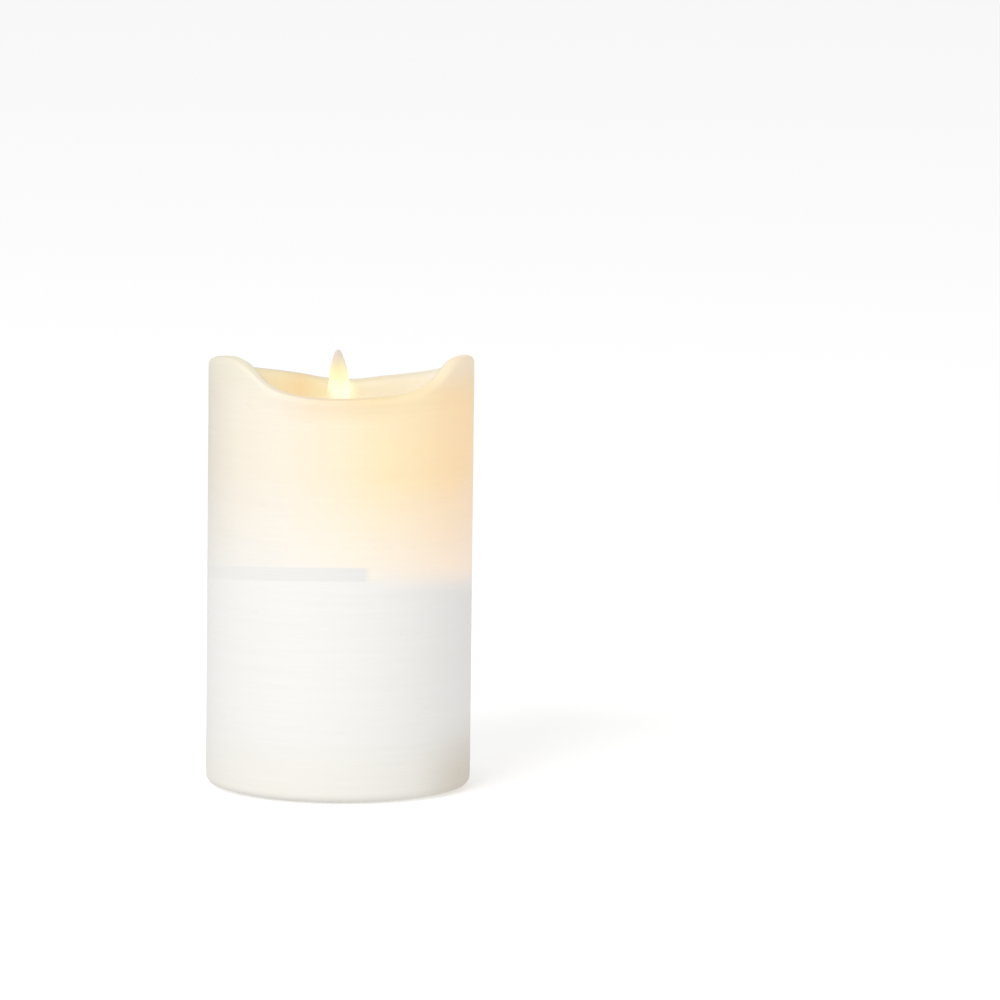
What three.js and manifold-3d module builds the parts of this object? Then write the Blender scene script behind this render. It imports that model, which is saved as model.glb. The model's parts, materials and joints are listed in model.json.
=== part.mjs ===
// Flameless pillar candle with a swinging flame: a hollow wax shell with a melted rim over a plastic core
// that holds two AA cells, the control board and a flame module with a pendulum flame, magnet, coil and LED.
// Millimetres, +Z up, origin on the resting face at the candle's axis, -Y is the front.
import * as THREE from "three";
import { mergeVertices } from "three/addons/utils/BufferGeometryUtils.js";
import Module from "manifold-3d";

const wasm = await Module();
wasm.setup();

// ---------------------------------------------------------------- driving dimensions
const GAP = 0.3; // space kept between neighbouring solids
const WALL = 1.5; // wall of the moulded plastic parts
const SHEET = 0.4; // thickness of the contact plates
const FINE = 40; // sides of a large round part
const ROUND = 20; // sides of a middling round part
const SMALL = 12; // sides of a small round part

// Wax shell
const WAX_R = 38.1;
const WAX_BOTTOM = 0.5; // the wax stops just short of the table, the base plate stands on it
const BORE_R = 33.1;
const RIM_TOP = 125.5; // highest point of the rim's two lobes
const RIM_ROUND = 2.6; // height of the rounded lip at the top of the wall
const POOL_EDGE = 106; // height where the recess wall leaves the sunken pool
const POOL_Z = 104; // pool surface beside the flame
const CEILING_Z = 98.6; // underside of the pool
const FLAME_HOLE_R = 8;
const WAX_SIDES = 48;

// Rim height round the candle: [azimuth in degrees from +X, height]. Lobes at the sides, dips front and back.
const RIM = [
  [0, 124.1], [20, 121.2], [38, 118], [56, 115.8], [70, 114.4], [84, 113.2], [98, 113.6],
  [112, 115.3], [128, 116.8], [144, 118.4], [164, 121], [184, 123.3], [200, 124.9], [212, 125.5],
  [220, 124.6], [227, 122.3], [234, 119.3], [242, 117.2], [254, 116], [268, 115.6], [284, 116],
  [298, 116.6], [308, 117.9], [317, 120.2], [324, 123.2], [331, 125.1], [340, 125.5], [350, 125.1],
];

// Base plate and battery door
const BASE_R = 32.7;
const FLOOR = 2; // thickness of the base plate's floor
const SKIRT_TOP = 8;
const DOOR_X = 17.1; // half sizes of the door
const DOOR_Y = 10;
const DOOR_GAP = 0.4;
const DOOR_BOTTOM = 0.3;
const DOOR_TOP = 1.9;
const HOOK_X = 9;
const LATCH_X = 4.2; // half width of the door's snap tongue
const FINGER_R = 6.5; // finger recess beside the tongue
const SCREW_RING = 27.2; // radius of the circle of the base screws
const SCREW_ANGLES = [30, 150, 270];

// Slide switch: the knob is at its "on" end, and travels towards +X
const SWITCH_Y = 22.6;
const KNOB_X = -2;
const TRAVEL = 4;

// Battery bay
const CELL_R = 7.1;
const CELL_LENGTH = 49.5; // without the button
const BUTTON = 1;
const BUTTON_R = 2.75;
const CELL_X = 7.9; // each cell's distance from the middle
const CELL_BORE_R = 7.6;
const SLEEVE_R = 9;
const SLEEVE_BOTTOM = 3.2;
const SLEEVE_CEILING = 57.4;
const SLEEVE_TOP = 58.6;
const CELL_A_BOTTOM = 5.5; // cell a stands on the door's spring, positive end up
const CELL_B_BOTTOM = 4.2; // cell b stands on its button, positive end down
const LINK_Z = 2; // underside of the door's link plate
const CONTACT_Z = 56.9; // underside of the top contact plates
const SPRING_WIRE = 0.8;

// Core drum
const DRUM_R = 32.5;
const FLANGE_R = 32.8;
const DRUM_BOTTOM = SKIRT_TOP + 0.2;
const FLANGE_Z = 63.2; // underside of the flange that centres the drum in the wax
const FLANGE_TOP = 67.5;
const DRUM_TOP = 62; // top of the lid
const DRUM_LID = 1.8;
const SOCKET_TOP = 66; // top of the ring that holds the flame module

// Control board, standing behind the battery bay
const BOARD_Y = 18.6;
const BOARD = 1.6;
const BOARD_X = 16;
const BOARD_BOTTOM = 5.2;
const BOARD_TOP = 44;
const BOARD_BACK = BOARD_Y + BOARD;

// Flame module
const MODULE_R = 12;
const MODULE_WALL = 1.2;
const CUP_BOTTOM = DRUM_TOP + 0.4;
const CUP_TOP = 78;
const CAP_BOTTOM = CUP_TOP + GAP;
const CAP_SHOULDER = 93;
const COLLAR_BOTTOM = 98.2;
const COLLAR_TOP = 104.8;
const COLLAR_R = 7.4;
const APERTURE_R = 6;
const MODULE_BOARD_Z = 65.2;
const MODULE_BOARD = 1.2;
const COIL_BOTTOM = 66.6;
const COIL_TOP = 75;
const COIL_R = 6.2;
const EAR_X = 15.6; // screw ears of the module

// Flame pendulum
const PIVOT_Z = 96;
const PIVOT_WIRE_R = 0.45;
const PIVOT_HOLE_R = 0.6;
const FLAME_TIP = 125.5;
const FLAME_LEAN = -1; // sideways offset of the flame's tip
const FLAME_FLATNESS = 0.4; // thickness of the flame over its width
const MAGNET_R = 2.5;
const MAGNET_BOTTOM = 77.8;
const MAGNET_TOP = 80.6;
// Half width of the flame at each height: a narrow root, a full belly and a slender tip.
const FLAME_OUTLINE = [
  [96.5, 1.6], [98.5, 2.2], [102, 2.6], [105, 3.3], [107.6, 3.9], [110, 4.05], [112.4, 3.8], [114.8, 3.3],
  [117.2, 2.8], [119, 2.55], [120.8, 2.2], [122.6, 1.7], [124, 1.2], [124.9, 0.8], [125.3, 0.45],
];

// LED, leaning over the coil towards the flame
const LED_R = 2.5;
const LED_AZIMUTH = -30;
const LED_LEAN = 16; // degrees from upright
const LED_BASE = [7.5, 84.4]; // distance from the axis and height of the LED's underside
const LED_HEIGHT = 8.6;
const LEAD_PITCH = 2.54;

// ---------------------------------------------------------------- materials
const plain = (color, roughness, metalness = 0) =>
  new THREE.MeshStandardMaterial({ color, roughness, metalness });
const MATERIALS = {
  wax: plain(0xf8f1e4, 0.55),
  base: plain(0xf1ece0, 0.5),
  core: plain(0xf4f2ec, 0.45),
  module: plain(0xefe9dc, 0.4),
  flame: plain(0xffe9b0, 0.35),
  led: plain(0xfff2c8, 0.1),
  steel: plain(0xc9cacb, 0.3, 1),
  nickel: plain(0xd5d2c8, 0.25, 1),
  magnet: plain(0xb9bbbf, 0.2, 1),
  copper: plain(0xb8703a, 0.35, 1),
  cell: plain(0x3f6f8f, 0.35, 0.6),
  board: plain(0x1f6b3a, 0.5),
  chip: plain(0x1a1a1c, 0.5),
  knob: plain(0x2b2b2d, 0.5),
  redWire: plain(0xb3261e, 0.5),
  blackWire: plain(0x1c1c1e, 0.5),
  whiteWire: plain(0xe6e4df, 0.5),
};

// ---------------------------------------------------------------- solids and placing
const turn = (degrees) => THREE.MathUtils.degToRad(degrees);

// A closed geometry as a manifold solid, faces out.
function solid(geometry) {
  const bare = geometry.index ? geometry.toNonIndexed() : geometry.clone();
  for (const name of Object.keys(bare.attributes)) if (name !== "position") bare.deleteAttribute(name);
  const merged = mergeVertices(bare, 1e-3);
  const triVerts = [];
  for (let i = 0; i < merged.index.count; i += 3) {
    const [a, b, c] = [0, 1, 2].map((k) => merged.index.getX(i + k));
    if (a !== b && b !== c && c !== a) triVerts.push(a, b, c);
  }
  const vertProperties = merged.attributes.position.array;
  const build = (tris) => new wasm.Manifold(new wasm.Mesh({ numProp: 3, vertProperties, triVerts: tris }));
  const made = build(new Uint32Array(triVerts));
  return made.volume() < 0 ? build(new Uint32Array(triVerts.reverse())) : made;
}

// A manifold solid as a geometry.
function geometryOf(body) {
  const mesh = body.getMesh();
  const geometry = new THREE.BufferGeometry();
  geometry.setAttribute("position", new THREE.BufferAttribute(mesh.vertProperties, 3));
  geometry.setIndex(new THREE.BufferAttribute(mesh.triVerts, 1));
  geometry.computeVertexNormals();
  return geometry;
}

const join = (first, ...rest) => rest.reduce((sum, next) => sum.add(next), first);
const cut = (first, ...rest) => rest.reduce((sum, next) => sum.subtract(next), first);

// A body of revolution about +Z from [radius, height] pairs; an outline that is off the axis is closed.
function turned(outline, sides = ROUND) {
  const points = outline.map(([r, z]) => new THREE.Vector2(r, z));
  const onAxis = outline[0][0] === 0 && outline[outline.length - 1][0] === 0;
  if (!onAxis) points.push(points[0].clone());
  return solid(new THREE.LatheGeometry(points, sides).rotateX(Math.PI / 2));
}

// A round bar from one height to another.
const bar = (radius, low, high, x = 0, y = 0, sides = ROUND) =>
  solid(new THREE.CylinderGeometry(radius, radius, high - low, sides).rotateX(Math.PI / 2))
    .translate([x, y, (low + high) / 2]);

// A round bar along Y.
const barAlongY = (radius, length, z, sides = SMALL) =>
  solid(new THREE.CylinderGeometry(radius, radius, length, sides)).translate([0, 0, z]);

// A block from its lowest to its highest corner.
function block([x0, y0, z0], [x1, y1, z1]) {
  const made = solid(new THREE.BoxGeometry(x1 - x0, y1 - y0, z1 - z0));
  return made.translate([(x0 + x1) / 2, (y0 + y1) / 2, (z0 + z1) / 2]);
}

// A plate with rounded corners, by half sizes.
function roundedPlate(halfX, halfY, corner, low, high, x = 0, y = 0) {
  const shape = new THREE.Shape();
  shape.absarc(halfX - corner, halfY - corner, corner, 0, Math.PI / 2);
  shape.absarc(corner - halfX, halfY - corner, corner, Math.PI / 2, Math.PI);
  shape.absarc(corner - halfX, corner - halfY, corner, Math.PI, 1.5 * Math.PI);
  shape.absarc(halfX - corner, corner - halfY, corner, 1.5 * Math.PI, 2 * Math.PI);
  const options = { depth: high - low, bevelEnabled: false, curveSegments: 5 };
  return solid(new THREE.ExtrudeGeometry(shape, options)).translate([x, y, low]);
}

// A round section swept along a curve, with closed ends.
function swept(curve, radius, steps, sides = 8) {
  const section = new THREE.Shape();
  for (let i = 0; i < sides; i++) {
    const a = (2 * Math.PI * i) / sides;
    section[i ? "lineTo" : "moveTo"](radius * Math.cos(a), radius * Math.sin(a));
  }
  return solid(new THREE.ExtrudeGeometry(section, { steps, extrudePath: curve, bevelEnabled: false }));
}

const smoothCurve = (points) => new THREE.CatmullRomCurve3(points.map((p) => new THREE.Vector3(...p)));

const candle = new THREE.Group();

function place(name, body, material, parent = candle) {
  const mesh = new THREE.Mesh(geometryOf(body), MATERIALS[material]);
  mesh.name = name;
  parent.add(mesh);
  return mesh;
}

const onRing = (radius, degrees) => [radius * Math.cos(turn(degrees)), radius * Math.sin(turn(degrees))];

// ---------------------------------------------------------------- wax shell
// Height of the rim at an azimuth, by a smooth closed curve through the RIM points.
function rimHeight(degrees) {
  const n = RIM.length;
  const at = (i) => {
    const wraps = Math.floor(i / n);
    const [azimuth, height] = RIM[i - wraps * n];
    return [azimuth + 360 * wraps, height];
  };
  const wrapped = ((degrees % 360) + 360) % 360;
  let i = n - 1;
  while (RIM[i][0] > wrapped) i--;
  const [p, a, b, q] = [i - 1, i, i + 1, i + 2].map(at);
  const step = b[0] - a[0];
  const t = (wrapped - a[0]) / step;
  const slopeA = ((b[1] - p[1]) / (b[0] - p[0])) * step;
  const slopeB = ((q[1] - a[1]) / (q[0] - a[0])) * step;
  const [t2, t3] = [t * t, t * t * t];
  const heights = a[1] * (2 * t3 - 3 * t2 + 1) + b[1] * (3 * t2 - 2 * t3);
  return heights + slopeA * (t3 - 2 * t2 + t) + slopeB * (t3 - t2);
}

// The shell is turned with a level rim, then each column of its recess wall is lowered to the rim there.
function waxShell() {
  const top = RIM_TOP;
  const outline = [
    [BORE_R + 0.9, WAX_BOTTOM], [35.7, WAX_BOTTOM], [37, 0.9], [37.8, 1.8], [WAX_R, 3],
    [WAX_R, 40], [WAX_R, 80], [WAX_R, POOL_EDGE], [WAX_R, top - RIM_ROUND],
    [37.9, top - 1.3], [37.3, top - 0.4], [36.4, top], [35.4, top], [34.6, top - 0.5],
    [34.1, top - 1.5], [33.9, top - RIM_ROUND],
    [33.6, 110], [32.8, 107.6], [30.6, 105.8], [22, 104.7], [14, 104.2], [FLAME_HOLE_R + 0.6, POOL_Z],
    [FLAME_HOLE_R, POOL_Z - 0.6], [FLAME_HOLE_R, CEILING_Z],
    [BORE_R - 2, CEILING_Z], [BORE_R, CEILING_Z - 2], [BORE_R, 50], [BORE_R, WAX_BOTTOM + 0.9],
  ];
  const points = [...outline, outline[0]].map(([r, z]) => new THREE.Vector2(r, z));
  const geometry = new THREE.LatheGeometry(points, WAX_SIDES).rotateX(Math.PI / 2);
  const vertices = geometry.attributes.position;
  for (let i = 0; i < vertices.count; i++) {
    const [x, y, z] = [vertices.getX(i), vertices.getY(i), vertices.getZ(i)];
    const share = THREE.MathUtils.clamp((z - POOL_EDGE) / (top - RIM_ROUND - POOL_EDGE), 0, 1);
    const lowered = top - rimHeight(THREE.MathUtils.radToDeg(Math.atan2(y, x)));
    vertices.setZ(i, z - share * lowered);
  }
  return solid(geometry);
}

// ---------------------------------------------------------------- base plate and its screws
function basePlate() {
  const shell = turned([
    [0, 0], [BASE_R - 0.5, 0], [BASE_R, 0.5], [BASE_R, SKIRT_TOP], [BASE_R - WALL, SKIRT_TOP],
    [BASE_R - WALL, FLOOR], [0, FLOOR],
  ], FINE);
  const doorway = roundedPlate(DOOR_X + DOOR_GAP, DOOR_Y + DOOR_GAP, 3.4, -1, FLOOR + 1);
  const fingerRecess = bar(FINGER_R, -1, 1.1, 0, -DOOR_Y - DOOR_GAP);
  const knobRecess = roundedPlate(6.6, 3.3, 1.2, -1, 0.7, 0, SWITCH_Y);
  const knobSlot = block([-4.6, SWITCH_Y - 2.1, -1], [4.6, SWITCH_Y + 2.1, FLOOR + 1]);
  const posts = [-1, 1].map((side) => {
    const x = side * (BOARD_X - 1.5);
    const post = block([x - 2, BOARD_Y - 1.5, FLOOR - 0.5], [x + 2, BOARD_BACK + 1.5, 9.5]);
    return post.subtract(block([x - 3, BOARD_Y - GAP, BOARD_BOTTOM - GAP], [x + 3, BOARD_BACK + GAP, 10]));
  });
  const spots = SCREW_ANGLES.map((angle) => onRing(SCREW_RING, angle));
  const bosses = spots.map(([x, y]) => bar(3.2, FLOOR - 0.5, SKIRT_TOP, x, y, SMALL));
  const holes = spots.flatMap(([x, y]) => [bar(1.5, -1, 9, x, y, SMALL), bar(2.9, -1, 2.5, x, y, SMALL)]);
  return cut(join(shell, ...posts, ...bosses), doorway, fingerRecess, knobRecess, knobSlot, ...holes);
}

// A self-tapping screw, head down, with a cross recess in the head.
function screw(headR, headHeight, shankR, length) {
  const body = turned([
    [0, 0], [headR * 0.8, 0], [headR, headHeight * 0.4], [headR, headHeight], [shankR, headHeight],
    [shankR, length - 1.2], [shankR * 0.4, length], [0, length],
  ], SMALL);
  const arm = headR * 0.6;
  const half = headR * 0.12;
  const depth = headHeight * 0.55;
  const cross = [block([-arm, -half, -1], [arm, half, depth]), block([-half, -arm, -1], [half, arm, depth])];
  return cut(body, ...cross);
}

// ---------------------------------------------------------------- battery door
function batteryDoor() {
  const plate = roundedPlate(DOOR_X, DOOR_Y, 3, DOOR_BOTTOM, DOOR_TOP);
  const hooks = [-HOOK_X, HOOK_X].map((x) => {
    const foot = block([x - 2, 8, DOOR_TOP - 0.3], [x + 2, DOOR_Y - 0.1, 3]);
    return foot.add(block([x - 2, 8, 2.3], [x + 2, 11.9, 3]));
  });
  const nib = block([-2.5, -DOOR_Y - 0.1, 2.1], [2.5, 0.8 - DOOR_Y, 2.8])
    .add(block([-2.5, -DOOR_Y, DOOR_TOP - 0.3], [2.5, 0.8 - DOOR_Y, 2.3]));
  const grips = [0, 1, 2].map((i) => {
    const front = 1.4 + i * 1.3 - DOOR_Y;
    return block([-3, front, 0], [3, front + 0.5, 0.6]);
  });
  const slots = [-1, 1].map((side) => {
    const edges = [side * LATCH_X, side * (LATCH_X + 0.8)].sort((a, b) => a - b);
    return block([edges[0], -DOOR_Y - 1, 0], [edges[1], 5.5 - DOOR_Y, FLOOR]);
  });
  return cut(join(plate, ...hooks, nib), ...slots, ...grips);
}

// The plate that links the two cells, pressed into a dimple under cell b.
const linkPlate = () =>
  roundedPlate(CELL_X + 5, 4.6, 1.5, LINK_Z, LINK_Z + SHEET)
    .add(turned([[0, LINK_Z + 0.2], [2.6, LINK_Z + 0.2], [2, 3], [0, 3]], SMALL).translate([CELL_X, 0, 0]));

// A conical contact spring from its wide end to its narrow end.
class ConicalHelix extends THREE.Curve {
  constructor(wide, narrow, low, high, turns) {
    super();
    Object.assign(this, { wide, narrow, low, high, turns });
  }

  getPoint(t, target = new THREE.Vector3()) {
    const radius = THREE.MathUtils.lerp(this.wide, this.narrow, t);
    const angle = 2 * Math.PI * this.turns * t;
    const height = THREE.MathUtils.lerp(this.low, this.high, t);
    return target.set(radius * Math.cos(angle), radius * Math.sin(angle), height);
  }
}

const contactSpring = (wideEnd, narrowEnd) =>
  swept(new ConicalHelix(4.6, 2.4, wideEnd, narrowEnd, 2.25), SPRING_WIRE / 2, 30, 5);

// ---------------------------------------------------------------- battery bay
// Two joined tubes, with feet on the base plate's floor beside the door and studs under the drum's lid.
function batterySleeve() {
  const outline = new THREE.Shape();
  outline.absarc(CELL_X, 0, SLEEVE_R, -Math.PI / 2, Math.PI / 2);
  outline.absarc(-CELL_X, 0, SLEEVE_R, Math.PI / 2, 1.5 * Math.PI);
  const options = { depth: SLEEVE_TOP - SLEEVE_BOTTOM, bevelEnabled: false, curveSegments: 14 };
  const body = solid(new THREE.ExtrudeGeometry(outline, options)).translate([0, 0, SLEEVE_BOTTOM]);
  const bores = [-CELL_X, CELL_X].map((x) => bar(CELL_BORE_R, 0, SLEEVE_CEILING, x, 0));
  const tabSlots = [-CELL_X, CELL_X].map((x) => block([x - 1.6, 4.9, 50], [x + 1.6, 5.9, 70]));
  const feet = [-1, 1].map((side) => {
    const ends = [side * (CELL_X + CELL_BORE_R + 0.6), side * (CELL_X + SLEEVE_R + 4)].sort((a, b) => a - b);
    return block([ends[0], -4, FLOOR + 0.1], [ends[1], 4, 4.6]);
  });
  const lidFoot = DRUM_TOP - DRUM_LID - 0.1;
  const studs = [-CELL_X, CELL_X].map((x) => bar(1.2, SLEEVE_TOP - 0.5, lidFoot, x, -6, SMALL));
  return cut(join(body, ...feet, ...studs), ...bores, ...tabSlots);
}

// An AA cell, positive end up, standing on z = 0.
const cell = () =>
  turned([
    [0, 0], [CELL_R - 1.6, 0], [CELL_R - 1.2, 0.5], [CELL_R - 0.5, 0.2], [CELL_R, 0.7],
    [CELL_R, CELL_LENGTH - 0.7], [CELL_R - 0.5, CELL_LENGTH - 0.2], [CELL_R - 1.6, CELL_LENGTH],
    [BUTTON_R, CELL_LENGTH], [BUTTON_R, CELL_LENGTH + BUTTON - 0.3],
    [BUTTON_R - 0.4, CELL_LENGTH + BUTTON], [0, CELL_LENGTH + BUTTON],
  ]);

// A top contact: a plate with a solder tab that passes up through the sleeve; the positive one has a pip.
function topContact(x, hasPip) {
  const plate = roundedPlate(4.8, 4.6, 1, CONTACT_Z, CONTACT_Z + SHEET, x, 0);
  const tab = join(
    block([x - 1.1, 4.4, CONTACT_Z], [x + 1.1, 5.6, CONTACT_Z + SHEET]),
    block([x - 1.1, 5.2, CONTACT_Z], [x + 1.1, 5.6, 59.8]),
  );
  const pip = bar(2, 56.15, CONTACT_Z + 0.1, x, 0, SMALL);
  return hasPip ? join(plate, tab, pip) : join(plate, tab);
}

// ---------------------------------------------------------------- core drum
function coreDrum() {
  const shell = turned([
    [0, DRUM_TOP - DRUM_LID], [DRUM_R - WALL, DRUM_TOP - DRUM_LID], [DRUM_R - WALL, DRUM_BOTTOM],
    [DRUM_R, DRUM_BOTTOM], [DRUM_R, FLANGE_Z], [FLANGE_R, FLANGE_Z], [FLANGE_R, FLANGE_TOP],
    [DRUM_R - WALL, FLANGE_TOP], [DRUM_R - WALL, DRUM_TOP], [0, DRUM_TOP],
  ], FINE);
  const socketR = MODULE_R + GAP;
  const lid = DRUM_TOP - 0.5;
  const socket = turned([
    [socketR, lid], [socketR + 1.3, lid], [socketR + 1.3, SOCKET_TOP], [socketR, SOCKET_TOP],
  ]);
  const columns = SCREW_ANGLES.map((angle) => {
    const [x, y] = onRing(SCREW_RING, angle);
    const rib = block([SCREW_RING, -0.8, DRUM_BOTTOM], [DRUM_R - 0.5, 0.8, 24]).rotate([0, 0, angle]);
    return bar(3, DRUM_BOTTOM, 24, x, y, SMALL).add(rib).subtract(bar(1.5, 0, 16, x, y, SMALL));
  });
  const earBosses = [-EAR_X, EAR_X].map((x) => bar(2.6, lid, 65.9, x, 0, SMALL));
  const earHoles = [-EAR_X, EAR_X].map((x) => bar(1.25, 50, 70, x, 0, SMALL));
  const wireSlot = roundedPlate(3.4, 3.6, 1, 50, 70, 0, 8.3);
  const ringOpening = block([-3.4, 11, DRUM_TOP], [3.4, 16, 70]);
  return cut(join(shell, socket, ...columns, ...earBosses), wireSlot, ringOpening, ...earHoles);
}

// ---------------------------------------------------------------- control board and slide switch
// A small outline chip with bent legs along two sides.
function chip(x, z) {
  const body = block([x - 2.6, BOARD_BACK + 0.5, z - 2], [x + 2.6, BOARD_BACK + 2, z + 2]);
  const legs = [0, 1, 2, 3].map((i) => {
    const legX = x - 1.9 + 1.27 * i;
    const foot = block([legX - 0.2, BOARD_BACK + 0.1, z - 3.1], [legX + 0.2, BOARD_BACK + 0.4, z + 3.1]);
    const middle = block([legX - 0.3, BOARD_BACK, z - 2.3], [legX + 0.3, BOARD_BACK + 0.5, z + 2.3]);
    const knees = [-1, 1].map((side) => {
      const ends = [side * 1.9, side * 2.5].sort((a, b) => a - b);
      return block([legX - 0.2, BOARD_BACK + 0.1, z + ends[0]], [legX + 0.2, BOARD_BACK + 1.2, z + ends[1]]);
    });
    return join(foot.subtract(middle), ...knees);
  });
  return join(body, ...legs);
}

const resistor = (x, z) =>
  join(
    block([x - 1.6, BOARD_BACK + 0.1, z - 0.8], [x + 1.6, BOARD_BACK + 0.7, z + 0.8]),
    block([x - 1.7, BOARD_BACK + 0.05, z - 0.85], [x - 1.1, BOARD_BACK + 0.75, z + 0.85]),
    block([x + 1.1, BOARD_BACK + 0.05, z - 0.85], [x + 1.7, BOARD_BACK + 0.75, z + 0.85]),
  );

function controlBoard() {
  const plate = block([-BOARD_X, BOARD_Y, BOARD_BOTTOM], [BOARD_X, BOARD_BACK, BOARD_TOP]);
  const corners = [-BOARD_X, BOARD_X].map((x) =>
    solid(new THREE.CylinderGeometry(2, 2, 4, SMALL)).translate([x, BOARD_Y, BOARD_TOP]));
  return cut(plate, ...corners);
}

// The switch can, with the window that the lever slides in.
const switchCan = () =>
  block([-6, BOARD_BACK + 0.1, 4.9], [6, BOARD_BACK + 4.7, 9.3])
    .subtract(block([-4.6, SWITCH_Y - 1.3, 4], [4.6, SWITCH_Y + 1.3, 7.2]));

const switchLever = () => block([KNOB_X - 1, SWITCH_Y - 1, 3.4], [KNOB_X + 1, SWITCH_Y + 1, 6.8]);

// The knob: a ribbed grip in the slot, a flange that keeps it inside and two prongs round the lever.
function switchKnob() {
  const grip = block([KNOB_X - 2.2, SWITCH_Y - 1.7, 0.5], [KNOB_X + 2.2, SWITCH_Y + 1.7, 2.4]);
  const flange = block([KNOB_X - 4.6, SWITCH_Y - 2.9, 2.2], [KNOB_X + 4.6, SWITCH_Y + 2.9, 3]);
  const prongs = [-1, 1].map((side) => {
    const x = KNOB_X + side * 1.8;
    return block([x - 0.5, SWITCH_Y - 1.2, 2.8], [x + 0.5, SWITCH_Y + 1.2, 4.5]);
  });
  const ribs = [-1, 0, 1].map((i) =>
    block([KNOB_X + i * 1.2 - 0.3, SWITCH_Y - 2, 0], [KNOB_X + i * 1.2 + 0.3, SWITCH_Y + 2, 0.9]));
  return cut(join(grip, flange, ...prongs), ...ribs);
}

// ---------------------------------------------------------------- flame module
function moduleCup() {
  const inner = MODULE_R - MODULE_WALL;
  const cup = turned([
    [0, CUP_BOTTOM], [MODULE_R, CUP_BOTTOM], [MODULE_R, CUP_TOP], [inner, CUP_TOP],
    [inner, MODULE_BOARD_Z - 0.1], [inner - 1.2, MODULE_BOARD_Z - 0.1], [inner - 1.2, 63.8], [0, 63.8],
  ]);
  const ears = [-1, 1].map((side) => {
    const ends = [side * (MODULE_R - 0.6), side * (EAR_X + 2.6)].sort((a, b) => a - b);
    return block([ends[0], -2.6, SOCKET_TOP + 0.2], [ends[1], 2.6, SOCKET_TOP + 1.8]);
  });
  const earHoles = [-EAR_X, EAR_X].map((x) => bar(1.25, 60, 70, x, 0, SMALL));
  const wireHole = block([-2.9, 5.2, 60], [2.9, 9.1, 64.5]);
  return cut(join(cup, ...ears), wireHole, ...earHoles);
}

function moduleCap() {
  const inner = MODULE_R - MODULE_WALL;
  const cap = turned([
    [MODULE_R, CAP_BOTTOM], [MODULE_R, CAP_SHOULDER], [COLLAR_R, COLLAR_BOTTOM], [COLLAR_R, COLLAR_TOP - 0.4],
    [COLLAR_R - 0.4, COLLAR_TOP], [APERTURE_R + 0.4, COLLAR_TOP], [APERTURE_R, COLLAR_TOP - 0.4],
    [APERTURE_R, COLLAR_BOTTOM], [inner, CAP_SHOULDER], [inner, CAP_BOTTOM],
  ]);
  return cap.subtract(barAlongY(PIVOT_HOLE_R, 3 * MODULE_R, PIVOT_Z));
}

const moduleBoard = () =>
  bar(MODULE_R - MODULE_WALL - 0.4, MODULE_BOARD_Z, MODULE_BOARD_Z + MODULE_BOARD);

const coilBobbin = () =>
  turned([
    [1.6, COIL_BOTTOM], [COIL_R, COIL_BOTTOM], [COIL_R, COIL_BOTTOM + 0.8], [2.6, COIL_BOTTOM + 0.8],
    [2.6, COIL_TOP - 0.8], [COIL_R, COIL_TOP - 0.8], [COIL_R, COIL_TOP], [1.6, COIL_TOP],
  ]);

const coilWinding = () =>
  turned([[2.9, COIL_BOTTOM + 1.1], [5.8, COIL_BOTTOM + 1.1], [5.8, COIL_TOP - 1.1], [2.9, COIL_TOP - 1.1]]);

// A 5 mm LED standing on z = 0: rim flange, barrel and domed lens.
const ledBody = () =>
  turned([
    [0, 0], [LED_R + 0.4, 0], [LED_R + 0.4, 1], [LED_R, 1], [LED_R, LED_HEIGHT - LED_R],
    [2.2, LED_HEIGHT - 1.3], [1.3, LED_HEIGHT - 0.35], [0, LED_HEIGHT],
  ], 16);

// ---------------------------------------------------------------- flame pendulum
// The flame is turned, pressed flat, and leans a little sideways towards its tip.
function flameBlade() {
  const outline = FLAME_OUTLINE.map(([z, half]) => new THREE.Vector2(half, z));
  const low = FLAME_OUTLINE[0][0];
  const points = [new THREE.Vector2(0, low), ...outline, new THREE.Vector2(0, FLAME_TIP)];
  const geometry = new THREE.LatheGeometry(points, 20).rotateX(Math.PI / 2).scale(1, FLAME_FLATNESS, 1);
  const vertices = geometry.attributes.position;
  for (let i = 0; i < vertices.count; i++) {
    const rise = (vertices.getZ(i) - low) / (FLAME_TIP - low);
    vertices.setX(i, vertices.getX(i) + FLAME_LEAN * rise);
  }
  return solid(geometry);
}

function flame() {
  const boss = barAlongY(2.3, 2.6, PIVOT_Z, 16);
  const stem = block([-1.2, -0.9, 81], [1.2, 0.9, 98]);
  const magnetCup = bar(MAGNET_R + 0.9, MAGNET_BOTTOM - 0.1, MAGNET_TOP + 1.2, 0, 0, 16);
  const pocket = bar(MAGNET_R + GAP, 70, MAGNET_TOP + 0.2, 0, 0, 16);
  return cut(join(flameBlade(), boss, stem, magnetCup), pocket, barAlongY(PIVOT_HOLE_R, 20, PIVOT_Z));
}

// ---------------------------------------------------------------- assembly
place("wax_shell", waxShell(), "wax");
place("base_plate", basePlate(), "base");
SCREW_ANGLES.forEach((angle, i) => {
  const mesh = place(`base_screw_${i + 1}`, screw(2.4, 1.4, 1.2, 13), "steel");
  mesh.position.set(...onRing(SCREW_RING, angle), 0.8);
});

place("battery_door", batteryDoor(), "base");
place("door_link_plate", linkPlate(), "nickel");
const doorSpring = place("door_spring", contactSpring(2.9, 5), "nickel");
doorSpring.position.x = -CELL_X;

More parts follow.
